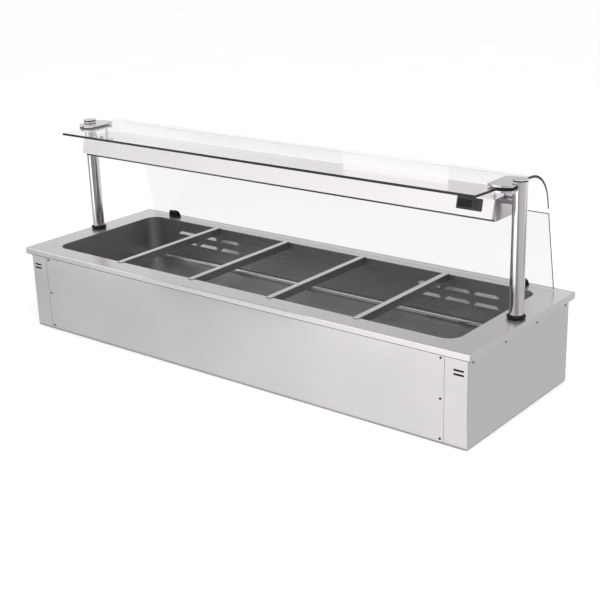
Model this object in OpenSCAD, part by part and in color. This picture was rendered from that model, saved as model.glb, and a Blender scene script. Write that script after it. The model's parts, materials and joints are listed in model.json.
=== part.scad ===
// Drop-in bain marie: a warm-air well for five full-size pans under a heated glass gantry.
// X runs along the counter, the operator stands on the -Y side, and Z points up.
// The origin is at the middle of the base, where the object stands.

/* [Counter top] */
// Rim between the well and the front or rear edge
side_rim = 70; // [66:1:110]
// Rim between the well and each end, which carries the posts
end_rim = 95; // [90:1:160]
// Sheet thickness of the counter top
top_t = 1.5; // [1:0.1:2.5]
// Height of the turned-down edge
lip_h = 22; // [16:1:32]
// Width of the flange returned under the edge
lip_return = 9; // [4:1:10]
// Outer radius of the folds in the sheet metal
fold_r = 3; // [2.6:0.1:4]

/* [Well] */
// Pitch of the pans along the well
bay_pitch = 342; // [336:1:380]
// Size of the well's opening from front to rear
well_w = 510; // [490:1:560]
// Depth of the well below the counter top
well_depth = 160; // [125:1:185]
// Plan radius of the well's corners
well_r = 48; // [25:1:80]
// Radius between the well's walls and its floor
cove_r = 18; // [6:1:20]
// Sheet thickness of the well
well_t = 1.2; // [0.8:0.1:2]
// Thickness of the insulation round the well
insulation_t = 20; // [10:1:25]

/* [Air louvres] */
// Distance of the middle of each louvre group from the well's end
louvre_in = 295; // [225:1:380]
// Distance between louvres along a row
louvre_pitch = 110; // [100:1:125]
// Length of a louvre
louvre_l = 92; // [60:1:96]
// How far a louvre stands out of the wall
louvre_out = 7; // [5:0.5:12]
// Height of a louvre
louvre_h = 10; // [7:0.5:14]
// Depth of the upper row below the counter top
louvre_drop = 52; // [42:1:60]
// Distance between the two rows
louvre_row = 36; // [28:1:50]

/* [Divider bars] */
// Width of a bar
bar_w = 20; // [14:1:30]
// Height of a bar's sides
bar_h = 24; // [12:1:30]
// Sheet thickness of a bar
bar_t = 1.5; // [1:0.1:2.5]
// How far a bar's ends lie on the rim
bar_lap = 9; // [5:1:14]

/* [Casing] */
// Height from the base to the counter top
body_h = 305; // [290:1:400]
// How far the casing stands back under the counter edge
case_inset = 15; // [13:1:30]
// Sheet thickness of the casing
case_t = 1.2; // [0.8:0.1:2]
// Height of the plinth line under the casing's panels
plinth_h = 5; // [3:1:10]
// Distance from the casing's end to the front cover's seam
seam_in = 78; // [70:1:110]
// Width of the seam beside the front cover
seam_gap = 1.2; // [0.6:0.1:3]
// Length of a vent slot beside the front cover
vent_l = 35; // [20:1:44]
// Height of a vent slot
vent_h = 6; // [4:0.5:9]
// Distance between the vent slots
vent_pitch = 13; // [11:1:18]

/* [Warm air unit] */
// Side of the square fan
fan_size = 120; // [92:1:130]
// Height of the fan
fan_h = 38; // [25:1:40]
// Distance of the fan's axis in front of the well's rear wall
fan_in = 80; // [72:1:115]
// Depth of the duct behind the well
duct_d = 40; // [30:1:44]
// Diameter of the heating rod
rod_d = 8; // [6:0.5:10]

/* [Gantry posts] */
// Diameter of a post
post_d = 45; // [38:0.1:48.3]
// Wall of a post
post_t = 2; // [1.5:0.1:3]
// Distance from the well's end to a post's axis
post_gap = 55; // [48:1:61]
// How far the posts stand behind the middle line
post_y = 8; // [0:1:20]
// Height of the gantry above the counter top
gantry_h = 427; // [380:1:520]
// Largest diameter of the rubber boot
boot_d = 59; // [55:1:64]
// Height of the rubber boot
boot_h = 16; // [10:1:24]

/* [Glass] */
// Distance of the glass shelf's underside below the gantry's top
shelf_drop = 25; // [24:1:29]
// Thickness of the shelf glass
shelf_t = 8; // [6:0.5:8]
// Reach of the shelf from the middle line to its front edge
shelf_front = 169; // [120:1:240]
// Gap between the shelf glass and each post
glass_end_gap = 9; // [7:1:24]
// How much further the glass reaches at its bend than at its front corners, at each end
glass_slant = 25; // [0:1:30]
// Outer radius of the bend at the rear
bend_r = 118; // [80:1:130]
// Lean of the rear glass from upright
lean = 12; // [8:0.5:13]
// Thickness of the lower glass
pane_t = 6; // [5:0.5:8]
// Distance of the lower glass's foot behind the well's opening
pane_set = 39; // [31:1:41]
// Distance below the shelf's underside where the two panes meet
pane_joint_drop = 128; // [117:1:222]
// Gap between the two panes
pane_gap = 16; // [2:1:18]

/* [Glass clamps] */
// Radius of the clamp plates at the posts
plate_r = 62; // [56:1:70]
// Thickness of a clamp plate
plate_t = 6; // [4:0.5:7]
// Thickness of the rubber on each side of the glass
rubber_t = 1; // [0.6:0.1:1.2]
// Distance of each glass foot from the well's end
foot_in = 80; // [30:1:230]
// Diameter of the star knob
knob_d = 28; // [22:1:32]

/* [Light box] */
// Distance of the light box's lower edge below the shelf's underside
box_drop = 95; // [90:1:142]
// Height of the light box
box_h = 67; // [64:1:72]
// Depth of the light box at the top
box_top_w = 142; // [120:1:170]
// Extra depth on each side at the lower edge
box_flare = 14; // [6:1:20]
// Gap between the light box and each post
box_end_gap = 19.5; // [14:0.1:30]
// Diameter of the rail that carries the light box
rail_d = 25; // [20:1:27]
// Diameter of a lamp tube
lamp_d = 11; // [8:0.5:12]
// Length of a lamp
lamp_l = 260; // [180:1:300]

/* [Controller] */
// Width of the controller's frame
ctrl_w = 84; // [78:1:100]
// Height of the controller's frame
ctrl_h = 37; // [32:1:40]
// Distance of the controller's middle from the light box's end
ctrl_in = 81; // [68:1:260]
// Travel of a key
key_travel = 0.8; // [0.4:0.1:1]

/* [Hidden] */
$fn = 64;

bays = 5;
fit = 0.2;
eps = 0.01;

top_l = bays*bay_pitch + 2*end_rim;
top_d = well_w + 2*side_rim;
well_l = bays*bay_pitch;
deck_z = body_h;
deck_under = deck_z - top_t;
edge_r = fold_r + 1;
floor_z = deck_z - well_depth;
flange_w = 10;

case_x = top_l/2 - case_inset;
case_y = top_d/2 - case_inset;
inner_x = case_x - case_t - fit;
inner_y = case_y - case_t - fit;
collar_h = 43;
collar_z = deck_z - collar_h;
panel_lap = 8;
panel_top = deck_z - lip_h + panel_lap;
pan_flange = 26;
seam_x = case_x - seam_in;
joggle_w = 28;
rear_flange_w = 25;
rib_w = 40;
rib_out = 14;
rib_foot = 10;
rib_gap = 8;
flange_gap = 1;
vent_off = 7.5;
vent_drop = 54.5;
vent_x = case_x - seam_in/2 + vent_off;
vent_z = panel_top - vent_drop;
base_vent_n = 6;
base_vent_w = 7;
insulation_gap = 4;

screw_d = 4;
screw_head_d = 7.5;
screw_head_h = 2.2;
screw_l = 7;
socket_d = 2.5;
socket_h = 1.2;
screw_in = 12;
screw_drop = 36;
screw_top_z = deck_z - screw_drop;
screw_low_z = 15;
screw_loose = 0.4;
screw_mid_z = (screw_top_z + screw_low_z)/2;
front_screw_x = seam_x - seam_gap - screw_in;
end_screw_in = 25;
end_screw_y = [-case_y + end_screw_in, -case_y/3.2, case_y/3.2, case_y - end_screw_in];
rear_screw_x = case_x - screw_in;

gland_d = 20;
gland_bore = 12;
gland_nut_d = 26;
gland_lock_d = 27;
gland_ring_h = 5;
gland_end_in = 60;
gland_x = case_x - gland_end_in;
gland_z = 50;
gland_out = 11;
gland_in = 14;
terminal_l = 70;
terminal_w = 60;
terminal_h = 60;
terminal_lid_h = 8;
terminal_lid_over = 2;
terminal_r = 4;
terminal_foot_l = 24;
terminal_foot_w = 14;
terminal_foot_t = 3;
terminal_foot_out = 5;
terminal_in = 45;

louvre_n = 3;
louvre_lip = 1;
louvre_x = well_l/2 - louvre_in;
duct_side = 10;
duct_w = louvre_n*louvre_pitch + 2*duct_side;
duct_t = 1;
duct_fan_edge = 5;
duct_gap = 3;
duct_top_drop = 24;
window_side = 6;
window_low = deck_z - louvre_drop - louvre_row - 8;
window_top = deck_z - louvre_drop + louvre_h + 3;
duct_y = well_w/2 + well_t;
fan_z = 22;
fan_y = well_w/2 - fan_in;
duct_low = fan_z + fan_h;
duct_low_top = floor_z - well_t - insulation_t - duct_gap;
duct_top = deck_z - duct_top_drop;
fan_wall = 3;
fan_r = 6;
fan_bore = fan_size - 2*fan_wall;
fan_hub_d = fan_size/2;
fan_plate_t = 4;
fan_arm_w = 6;
fan_hole_d = 4.3;
fan_hole_in = 7;
fan_blades = 7;
blade_t = 2;
blade_chord = 40;
blade_pitch = 52;
fan_pin_d = 5;
fan_pin_clear = 0.05;
fan_pin_short = 6;
rotor_low = fan_plate_t + 0.5;
rotor_h = fan_h - rotor_low - 4;
rotor_tip = fan_bore/2 - 2;
rotor_wall = 1.5;
rod_y = duct_y + duct_d/2;
rod_up = 30;
rod_low_z = duct_low + rod_up;
rod_rise = 32;
rod_out = 18;
rod_short = 50;
heater_plate_w = 30;
heater_plate_edge = 12;
heater_plate_t = 3;
heater_screw_in = 5;

post_x = well_l/2 + post_gap;
cap_t = 2.5;
cap_round = 1;
cap_over = 1;
cap_plug_h = 10;
seal_t = 4;
post_top = deck_z + gantry_h - cap_t - seal_t;
plug_h = 10;
bolt_d = 10;
bolt_loose = 1;
bolt_head_d = 18;
bolt_head_h = 6.5;
bolt_plate_gap = 2;
bolt_plate = 2*(min(inner_x - case_t - post_x, post_gap - well_t - insulation_t) - bolt_plate_gap);
bolt_plate_r = 5;
bolt_end_gap = 1;
bolt_plate_t = 4;
boot_low_in = 5.5;
boot_top_in = 4.5;

shelf_low = deck_z + gantry_h - shelf_drop;
shelf_top = shelf_low + shelf_t;
pane_y = well_w/2 + pane_set;
bend_mid = bend_r - shelf_t/2;
bend_z = shelf_top - bend_r;
pane_foot = 4;
pane_low = deck_z + pane_foot;
bend_y = pane_y - (bend_mid + (bend_z - pane_low)*sin(lean))/cos(lean);
bend_n = 52;
glass_slope = glass_slant/(shelf_front + bend_y);
glass_front_x = post_x - post_d/2 - glass_end_gap - glass_slope*(shelf_front + post_y);
glass_x = glass_front_x + glass_slant;
joint_z = shelf_low - pane_joint_drop;
tail_l = (bend_z + bend_mid*sin(lean) - joint_z - pane_gap/2)/cos(lean);
pane_l = (joint_z - pane_gap/2 - pane_low)/cos(lean);

plate_back = 8;
plate_inset = 42;
plate_y = post_y - plate_back;
plate_x = post_x - plate_inset;
plate_in = plate_r/2 + 1;
plate_out = 44;
bracket_low = shelf_low - rubber_t - plate_t;
plate_low = shelf_top + rubber_t;
clamp_screw_at = [22, 42];
clamp_screw_d = 6;
screw_cover = 2;
screw_end_gap = 0.5;
rubber_back = 2;
clamp_head_d = 10;
clamp_head_h = 4;
clamp_socket_d = 4.6;
clamp_socket_h = 2;

box_x = post_x - post_d/2 - box_end_gap;
box_end_t = 2;
box_t = 1.2;
box_low = shelf_low - box_drop;
box_top = box_low + box_h;
box_lip_up = 11;
box_lip_z = box_low + box_lip_up;
box_lip_w = 10;
tray_in = 4;
tray_w = box_top_w - 2*tray_in;
tray_h = 26;
tray_lip = 7;
rail_gap = 2;
rail_z = box_top - rail_d/2 - rail_gap;
rail_t = 1.5;
hanger_d = 8;
hanger_foot_h = 2;
hanger_foot_d = 14;
hanger_end_gap = 1;
hanger_in = 10;
hanger_x = plate_x - plate_in + hanger_in;
hanger_side = 30;
lamp_up = 13;
lamp_z = box_low + lamp_up;
lamp_cap_t = 1.5;
lamp_cap_d = lamp_d + 2*lamp_cap_t;
lamp_cap_l = 20;
holder_t = 8;
holder_w = 24;
holder_under = 2;
guard_t = 2;
guard_bar = 2.5;
guard_long_n = 5;
guard_cross_n = 40;

foot_x = well_l/2 - foot_in;
foot_w = 44;
foot_front = 16;
foot_rear = 10;
foot_y = [pane_y - foot_front, pane_y + foot_rear];
foot_h = 9;
foot_screw_in = 7;
foot_screw_y = foot_y[0] + foot_screw_in;
foot_screw_short = 3;
cheek_in = 1;
cheek_d = knob_d - 2*cheek_in;
knob_t = 12;
knob_lobes = 6;
knob_rise = 8;
knob_z = deck_z + knob_rise + knob_d/2;
knob_gap = 1;
knob_hub_rise = 2;
knob_front = foot_y[0] - knob_gap - knob_t;
stud_d = 6;
stud_clear = 0.06;
stud_gap = 0.4;

ctrl_x = box_x - ctrl_in;
box_tilt = atan(box_flare/(box_top - box_lip_z));
ctrl_up = 7;
ctrl_z = (box_top + box_lip_z)/2 + ctrl_up;
bezel_t = 3.5;
bezel_r = 3;
bezel_step = 1;
bezel_side = 6;
bezel_edge = 5.5;
ctrl_body_w = ctrl_w - 2*bezel_side;
ctrl_body_h = ctrl_h - 2*bezel_edge;
ctrl_body_d = 21;
key_n = 4;
key_r = 1;
key_w = 9;
key_h = 11;
key_col = 11.5;
key_row = 13.5;
key_in = 19.5;
key_mid = ctrl_w/2 - key_in;
key_clear = 0.3;
key_proud = 0.9;
key_pocket = 3;
display_w = 46;
display_h = 24;
display_t = 1;
display_sunk = 1.2;
display_low = bezel_t - display_sunk;
display_edge = 6;
display_x = -ctrl_w/2 + display_edge + display_w/2;

// Half the depth of the light box at height z, at the outside of its sloping face.
function box_half(z) = box_top_w/2 + box_flare*(box_top - z)/(box_top - box_lip_z);

// Colours of the materials.
steel = [0.76, 0.76, 0.77];
dark_steel = [0.45, 0.45, 0.46];
well_steel = [0.42, 0.42, 0.43];
black = [0.10, 0.10, 0.11];
clear = [0.85, 0.88, 0.92, 0.35];

// Rounded rectangle, centred.
module rrect(l, w, r) {
    square([l - 2*r, w], center = true);
    square([l, w - 2*r], center = true);
    for (sx = [-1, 1], sy = [-1, 1])
        translate([sx*(l/2 - r), sy*(w/2 - r)])
            circle(r);
}

// Slot with round ends along X, centred.
module slot(l, h) {
    square([l - h, h], center = true);
    for (s = [-1, 1])
        translate([s*(l - h)/2, 0])
            circle(h/2);
}

// Sweeps a profile round a rounded rectangle. The profile's x runs outwards from the corners' axes.
module sweep_round(l, w, r) {
    for (sx = [0, 1], sy = [0, 1])
        mirror([sx, 0, 0]) mirror([0, sy, 0])
            translate([l/2 - r, w/2 - r, 0])
                rotate_extrude(angle = 90) children();
    for (sy = [0, 1])
        mirror([0, sy, 0])
            translate([0, w/2 - r, 0])
                rotate([90, 0, 90])
                    linear_extrude(l - 2*r, center = true) children();
    for (sx = [0, 1])
        mirror([sx, 0, 0])
            translate([l/2 - r, 0, 0])
                rotate([90, 0, 0])
                    linear_extrude(w - 2*r, center = true) children();
}

// Quarter of a ring, from the +X axis round to the given side of it.
module quarter_ring(r, t, up) {
    intersection() {
        difference() {
            circle(r);
            circle(r - t);
        }
        translate([0, up ? 0 : -r])
            square(r);
    }
}

// Repeats its children on the right-hand end, or mirrored on the left.
module at_end(side) {
    mirror([side < 0 ? 1 : 0, 0, 0]) children();
}

// Counter top

module edge_profile() {
    translate([0, -top_t])
        square([edge_r - fold_r, top_t]);
    translate([edge_r - fold_r, -fold_r])
        quarter_ring(fold_r, top_t, true);
    translate([edge_r - top_t, -lip_h])
        square([top_t, lip_h - fold_r]);
}

module countertop() {
    color(steel) {
        difference() {
            union() {
                translate([0, 0, deck_z])
                    sweep_round(top_l, top_d, edge_r) edge_profile();
                translate([0, 0, deck_under])
                    linear_extrude(top_t)
                        square([top_l - 2*edge_r, top_d - 2*edge_r], center = true);
                translate([0, 0, deck_z - lip_h])
                    linear_extrude(top_t)
                        difference() {
                            rrect(top_l, top_d, edge_r);
                            square([top_l - 2*lip_return, top_d - 2*lip_return], center = true);
                        }
                translate([0, 0, collar_z])
                    linear_extrude(collar_h - top_t + eps)
                        difference() {
                            square([2*inner_x, 2*inner_y], center = true);
                            square([2*(inner_x - case_t), 2*(inner_y - case_t)], center = true);
                        }
            }
            translate([0, 0, deck_z - 2*top_t])
                linear_extrude(3*top_t)
                    rrect(well_l, well_w, well_r);
            for (s = [-1, 1])
                translate([s*post_x, post_y, deck_under - 1])
                    cylinder(h = top_t + 2, d = bolt_d + bolt_loose);
            for (s = [-1, 1])
                translate([s*foot_x, foot_screw_y, deck_under - 1])
                    cylinder(h = top_t + 2, d = screw_d + screw_loose);
            casing_holes(screw_d + fit);
        }
    }
}

// Well

module tub_profile() {
    h = well_depth - top_t;
    translate([0, -well_t])
        square([well_r - cove_r, well_t]);
    translate([well_r - cove_r, cove_r])
        quarter_ring(cove_r + well_t, well_t, false);
    translate([well_r, cove_r])
        square([well_t, h - cove_r]);
    translate([well_r, h - well_t])
        square([flange_w, well_t]);
}

// Places its children at the lower rear corner of each louvre.
module each_louvre() {
    for (side = [-1, 1], i = [0:louvre_n - 1], row = [0, 1])
        translate([side*louvre_x + (i - (louvre_n - 1)/2)*louvre_pitch, well_w/2,
                   deck_z - louvre_drop - row*louvre_row])
            children();
}

// Louvre with a sloping face and slanted ends, open at the bottom. It reaches back into the wall.
module louvre_hood(l, out, h, back) {
    intersection() {
        rotate([90, 0, 90])
            linear_extrude(l, center = true)
                polygon([[back, 0], [-out, 0], [-out, louvre_lip], [0, h], [back, h]]);
        rotate([90, 0, 0])
            linear_extrude(2*(out + back), center = true)
                polygon([[-l/2, 0], [l/2, 0], [l/2 - h, h], [-l/2 + h, h]]);
    }
}

module well_tub() {
    color(well_steel)
        difference() {
            union() {
                translate([0, 0, floor_z])
                    sweep_round(well_l, well_w, well_r) tub_profile();
                translate([0, 0, floor_z - well_t])
                    linear_extrude(well_t)
                        square([well_l - 2*well_r, well_w - 2*well_r], center = true);
                each_louvre()
                    louvre_hood(louvre_l, louvre_out, louvre_h, well_t/2);
            }
            each_louvre()
                translate([0, 0, -eps])
                    louvre_hood(louvre_l - 3*well_t, louvre_out - well_t, louvre_h - 1.5*well_t, 2*well_t);
        }
}

module well_insulation() {
    l = well_l + 2*well_t + 2*fit;
    w = well_w + 2*well_t + 2*fit;
    r = well_r + well_t + fit;
    low = floor_z - well_t - insulation_t;
    color([0.85, 0.80, 0.62])
        difference() {
            translate([0, 0, low])
                linear_extrude(collar_z - insulation_gap - low)
                    rrect(l + 2*insulation_t, w + 2*insulation_t, r + insulation_t);
            translate([0, 0, floor_z - well_t])
                linear_extrude(well_depth)
                    rrect(l, w, r);
            translate([-top_l, w/2 - fit, low - 1])
                cube([2*top_l, top_d, body_h]);
            translate([-top_l, w/2 - r, floor_z - well_t])
                cube([2*top_l, top_d, body_h]);
        }
}

module divider_bar(i) {
    gap = 1;
    color(steel)
        translate([(i - bays/2)*bay_pitch, 0, deck_z + 0.3]) {
            linear_extrude(bar_t)
                rrect(bar_w, well_w + 2*bar_lap, 2);
            for (s = [-1, 1])
                translate([s*(bar_w - bar_t)/2, 0, -bar_h/2 + bar_t/2])
                    cube([bar_t, well_w - 2*gap, bar_h + bar_t], center = true);
        }
}

// Casing

// Axes of the casing's screws, with the screw running along +Z into the casing.
module each_casing_screw() {
    for (s = [-1, 1], z = [screw_low_z, screw_mid_z, screw_top_z]) {
        translate([s*front_screw_x, -case_y, z])
            rotate([-90, 0, 0]) children();
        translate([s*rear_screw_x, case_y, z])
            rotate([90, 0, 0]) children();
    }
    for (s = [-1, 1], y = end_screw_y)
        translate([s*case_x, y, screw_top_z])
            rotate([0, -90*s, 0]) children();
}

module casing_holes(d) {
    each_casing_screw()
        translate([0, 0, -1])
            cylinder(h = screw_l + 1, d = d);
}

module casing_screws() {
    color(dark_steel)
        each_casing_screw() {
            difference() {
                translate([0, 0, -screw_head_h])
                    rotate_extrude()
                        intersection() {
                            translate([0, screw_head_d*0.9])
                                circle(screw_head_d*0.9);
                            square([screw_head_d/2, screw_head_h]);
                        }
                translate([0, 0, -screw_head_h - 1])
                    cylinder(h = socket_h + 1, d = socket_d, $fn = 6);
            }
            translate([0, 0, -eps])
                cylinder(h = screw_l, d = screw_d);
        }
}

module base_pan() {
    color(dark_steel)
        difference() {
            union() {
                linear_extrude(top_t)
                    square([2*inner_x, 2*inner_y], center = true);
                linear_extrude(pan_flange)
                    difference() {
                        square([2*inner_x, 2*inner_y], center = true);
                        square([2*(inner_x - case_t), 2*(inner_y - case_t)], center = true);
                    }
            }
            for (s = [-1, 1], i = [0:base_vent_n - 1])
                translate([s*louvre_x, fan_y + (i - (base_vent_n - 1)/2)*fan_size/(base_vent_n + 1), -1])
                    linear_extrude(top_t + 2)
                        slot(fan_size*0.8, base_vent_w);
            casing_holes(screw_d + fit);
        }
}

module vent_slots() {
    for (i = [-1, 1])
        translate([vent_x, -case_y - 1, vent_z + i*vent_pitch/2])
            rotate([-90, 0, 0])
                linear_extrude(case_t + 2)
                    slot(vent_l, vent_h);
}

// Plan of a bent end panel: the end wall, its return beside the front cover, and both fixing flanges.
module end_panel_plan(flanges) {
    translate([case_x - case_t, -case_y + fold_r])
        square([case_t, 2*case_y - fold_r - case_t]);
    translate([case_x - fold_r, -case_y + fold_r])
        quarter_ring(fold_r, case_t, false);
    translate([seam_x, -case_y])
        square([seam_in - fold_r, case_t]);
    if (flanges) {
        translate([seam_x, -case_y])
            square([case_t, 2*case_t + fit]);
        translate([seam_x - joggle_w, -case_y + case_t + fit])
            square([joggle_w + case_t, case_t]);
        translate([case_x - rear_flange_w, case_y - 2*case_t - fit])
            square([rear_flange_w, case_t]);
    }
}

module end_panel(side) {
    color(steel)
        at_end(side)
            difference() {
                union() {
                    translate([0, 0, plinth_h])
                        linear_extrude(deck_under - plinth_h)
                            end_panel_plan(false);
                    translate([0, 0, pan_flange + flange_gap])
                        linear_extrude(collar_z - pan_flange - 2*flange_gap)
                            end_panel_plan(true);
                }
                vent_slots();
                casing_holes(screw_d + fit);
            }
}

module rear_panel() {
    color(steel)
        difference() {
            translate([-case_x, case_y - case_t, plinth_h])
                cube([2*case_x, case_t, deck_under - plinth_h]);
            casing_holes(screw_d + fit);
            translate([gland_x, case_y + 1, gland_z])
                rotate([90, 0, 0])
                    cylinder(h = case_t + 2, d = gland_d + 2*fit);
        }
}

module front_panel() {
    rib_z = pan_flange + rib_gap;
    color(steel) {
        difference() {
            translate([-seam_x + seam_gap, -case_y, plinth_h])
                cube([2*(seam_x - seam_gap), case_t, panel_top - plinth_h]);
            casing_holes(screw_d + fit);
        }
        for (s = [-1, 1])
            translate([s*seam_x/3, -case_y + case_t, rib_z])
                linear_extrude(collar_z - rib_gap - rib_z)
                    difference() {
                        union() {
                            translate([-rib_w/2, 0])
                                square([rib_w, rib_out]);
                            translate([-rib_w/2 - rib_foot, 0])
                                square([rib_w + 2*rib_foot, case_t]);
                        }
                        translate([-rib_w/2 + case_t, -1])
                            square([rib_w - 2*case_t, rib_out - case_t + 1]);
                    }
    }
}

// Warm air unit

module duct_solid(inset) {
    l = duct_w - 2*inset;
    h = fan_size + 2*duct_fan_edge - 2*inset;
    translate([louvre_x - l/2, duct_y + inset, duct_low + inset])
        cube([l, duct_d - 2*inset, duct_top - duct_low - 2*inset]);
    translate([louvre_x - h/2, fan_y - h/2, duct_low + inset])
        cube([h, duct_y + duct_d - inset - fan_y + h/2, duct_low_top - duct_low - 2*inset]);
}

module air_duct(side) {
    color(dark_steel)
        at_end(side)
            difference() {
                duct_solid(0);
                duct_solid(duct_t);
                translate([louvre_x - duct_w/2 + window_side, duct_y - 1, window_low])
                    cube([duct_w - 2*window_side, duct_t + 2, window_top - window_low]);
                translate([louvre_x, fan_y, duct_low - 1])
                    cylinder(h = duct_t + 2, d = fan_bore);
                for (z = [0, rod_rise])
                    translate([louvre_x + duct_w/2 - 5, rod_y, rod_low_z + z])
                        rotate([0, 90, 0])
                            cylinder(h = 10, d = rod_d + 2*fit);
            }
}

module fan_frame(side) {
    color(black)
        at_end(side)
            translate([louvre_x, fan_y, fan_z]) {
                difference() {
                    linear_extrude(fan_h)
                        rrect(fan_size, fan_size, fan_r);
                    translate([0, 0, -1])
                        cylinder(h = fan_h + 2, d = fan_bore);
                    for (sx = [-1, 1], sy = [-1, 1])
                        translate([sx*(fan_size/2 - fan_hole_in), sy*(fan_size/2 - fan_hole_in), -1])
                            cylinder(h = fan_h + 2, d = fan_hole_d);
                }
                cylinder(h = fan_plate_t, d = fan_hub_d - 4);
                for (a = [45:90:315])
                    rotate([0, 0, a])
                        translate([fan_hub_d/2 - 4, -fan_arm_w/2, 0])
                            cube([(fan_bore - fan_hub_d)/2 + 5, fan_arm_w, fan_plate_t]);
                cylinder(h = fan_h - fan_pin_short, d = fan_pin_d);
            }
}

module fan_rotor(side) {
    color(black)
        at_end(side)
            translate([louvre_x, fan_y, fan_z + rotor_low]) {
                difference() {
                    cylinder(h = rotor_h, d = fan_hub_d);
                    translate([0, 0, -1])
                        cylinder(h = rotor_h + 2, d = fan_pin_d + 2*fan_pin_clear);
                }
                intersection() {
                    for (i = [0:fan_blades - 1])
                        rotate([0, 0, i*360/fan_blades])
                            translate([fan_hub_d/2 - 2, 0, rotor_h/2])
                                rotate([90 - blade_pitch, 0, 0])
                                    translate([0, -blade_chord/2, -blade_t/2])
                                        cube([rotor_tip, blade_chord, blade_t]);
                    difference() {
                        translate([0, 0, 1])
                            cylinder(h = rotor_h - 2, r = rotor_tip);
                        cylinder(h = rotor_h, d = fan_hub_d - 2*rotor_wall);
                    }
                }
            }
}

module air_heater(side) {
    end_x = louvre_x + duct_w/2;
    run = duct_w - rod_short;
    color(dark_steel)
        at_end(side)
            difference() {
                union() {
                    for (z = [0, rod_rise])
                        translate([end_x + rod_out, rod_y, rod_low_z + z])
                            rotate([0, -90, 0])
                                cylinder(h = run + rod_out, d = rod_d);
                    translate([end_x - run, rod_y, rod_low_z + rod_rise/2])
                        rotate([-90, 0, 0])
                            rotate([0, 0, 90])
                                rotate_extrude(angle = 180)
                                    translate([rod_rise/2, 0])
                                        circle(d = rod_d);
                    translate([end_x, rod_y - heater_plate_w/2, rod_low_z - heater_plate_edge])
                        cube([heater_plate_t, heater_plate_w, rod_rise + 2*heater_plate_edge]);
                }
                for (y = [-1, 1])
                    translate([end_x - 1, rod_y + y*(heater_plate_w/2 - heater_screw_in), rod_low_z + rod_rise/2])
                        rotate([0, 90, 0])
                            cylinder(h = heater_plate_t + 2, d = screw_d);
            }
}

module terminal_box() {
    color([0.62, 0.62, 0.60])
        translate([case_x - terminal_in, -well_w/4, top_t]) {
            linear_extrude(terminal_h)
                rrect(terminal_w, terminal_l, terminal_r);
            translate([0, 0, terminal_h])
                linear_extrude(terminal_lid_h)
                    rrect(terminal_w + 2*terminal_lid_over, terminal_l + 2*terminal_lid_over,
                          terminal_r + terminal_lid_over);
            for (s = [-1, 1])
                translate([0, s*(terminal_l/2 + terminal_foot_out), 0])
                    linear_extrude(terminal_foot_t)
                        slot(terminal_foot_l, terminal_foot_w);
        }
}

module cable_gland() {
    color(black)
        translate([gland_x, case_y + gland_out, gland_z])
            rotate([90, 0, 0])
                difference() {
                    union() {
                        cylinder(h = gland_out + gland_in, d = gland_d);
                        translate([0, 0, gland_ring_h])
                            cylinder(h = gland_out - gland_ring_h, d = gland_nut_d, $fn = 6);
                        cylinder(h = gland_ring_h, d = gland_d + 2);
                        translate([0, 0, gland_out + case_t])
                            cylinder(h = gland_ring_h, d = gland_lock_d, $fn = 6);
                    }
                    translate([0, 0, -1])
                        cylinder(h = gland_out + gland_in + 2, d = gland_bore);
                }
}

// Gantry posts

module post(side) {
    h = post_top - deck_z;
    color(steel)
        at_end(side)
            translate([post_x, post_y, deck_z]) {
                difference() {
                    cylinder(h = h, d = post_d);
                    translate([0, 0, plug_h])
                        cylinder(h = h, d = post_d - 2*post_t);
                    translate([0, 0, -1])
                        cylinder(h = plug_h + 2, d = bolt_d + fit);
                }
            }
}

module post_boot(side) {
    color(black)
        at_end(side)
            translate([post_x, post_y, deck_z])
                rotate_extrude()
                    polygon([[post_d/2 + fit, 0], [boot_d/2 - boot_low_in, 0], [boot_d/2, boot_h*0.45],
                             [boot_d/2, boot_h*0.55], [boot_d/2 - boot_top_in, boot_h],
                             [post_d/2 + fit, boot_h]]);
}

module post_cap(side) {
    cap_d = post_d + 2*cap_over;
    color(steel)
        at_end(side)
            translate([post_x, post_y, post_top + seal_t]) {
                rotate_extrude() {
                    square([cap_d/2 - cap_round, cap_t]);
                    square([cap_d/2, cap_t - cap_round]);
                    translate([cap_d/2 - cap_round, cap_t - cap_round])
                        circle(cap_round);
                }
                translate([0, 0, -seal_t - cap_plug_h])
                    cylinder(h = seal_t + cap_plug_h + eps, d = post_d - 2*post_t - 2*fit);
            }
}

module cap_seals() {
    color(black)
        for (s = [-1, 1])
            at_end(s)
                translate([post_x, post_y, post_top])
                    difference() {
                        cylinder(h = seal_t, d = post_d);
                        translate([0, 0, -1])
                            cylinder(h = seal_t + 2, d = post_d - 2*post_t);
                    }
}

module post_bolts() {
    grip = bolt_plate_t + top_t;
    color(dark_steel)
        for (s = [-1, 1])
            at_end(s)
                translate([post_x, post_y, deck_under]) {
                    translate([0, 0, -bolt_plate_t - bolt_head_h])
                        cylinder(h = bolt_head_h, d = bolt_head_d, $fn = 6);
                    translate([0, 0, -bolt_plate_t - eps])
                        cylinder(h = grip + plug_h - bolt_end_gap, d = bolt_d);
                    translate([0, 0, -bolt_plate_t])
                        linear_extrude(bolt_plate_t)
                            rrect(bolt_plate, bolt_plate, bolt_plate_r);
                }
}

module cross_rail() {
    color(steel)
        difference() {
            translate([-post_x, post_y, rail_z])
                rotate([0, 90, 0])
                    difference() {
                        cylinder(h = 2*post_x, d = rail_d);
                        translate([0, 0, -1])
                            cylinder(h = 2*post_x + 2, d = rail_d - 2*rail_t);
                    }
            for (s = [-1, 1])
                translate([s*post_x, post_y, rail_z - rail_d])
                    cylinder(h = 2*rail_d, d = post_d + fit);
        }
}

// Glass clamps at the posts

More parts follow.
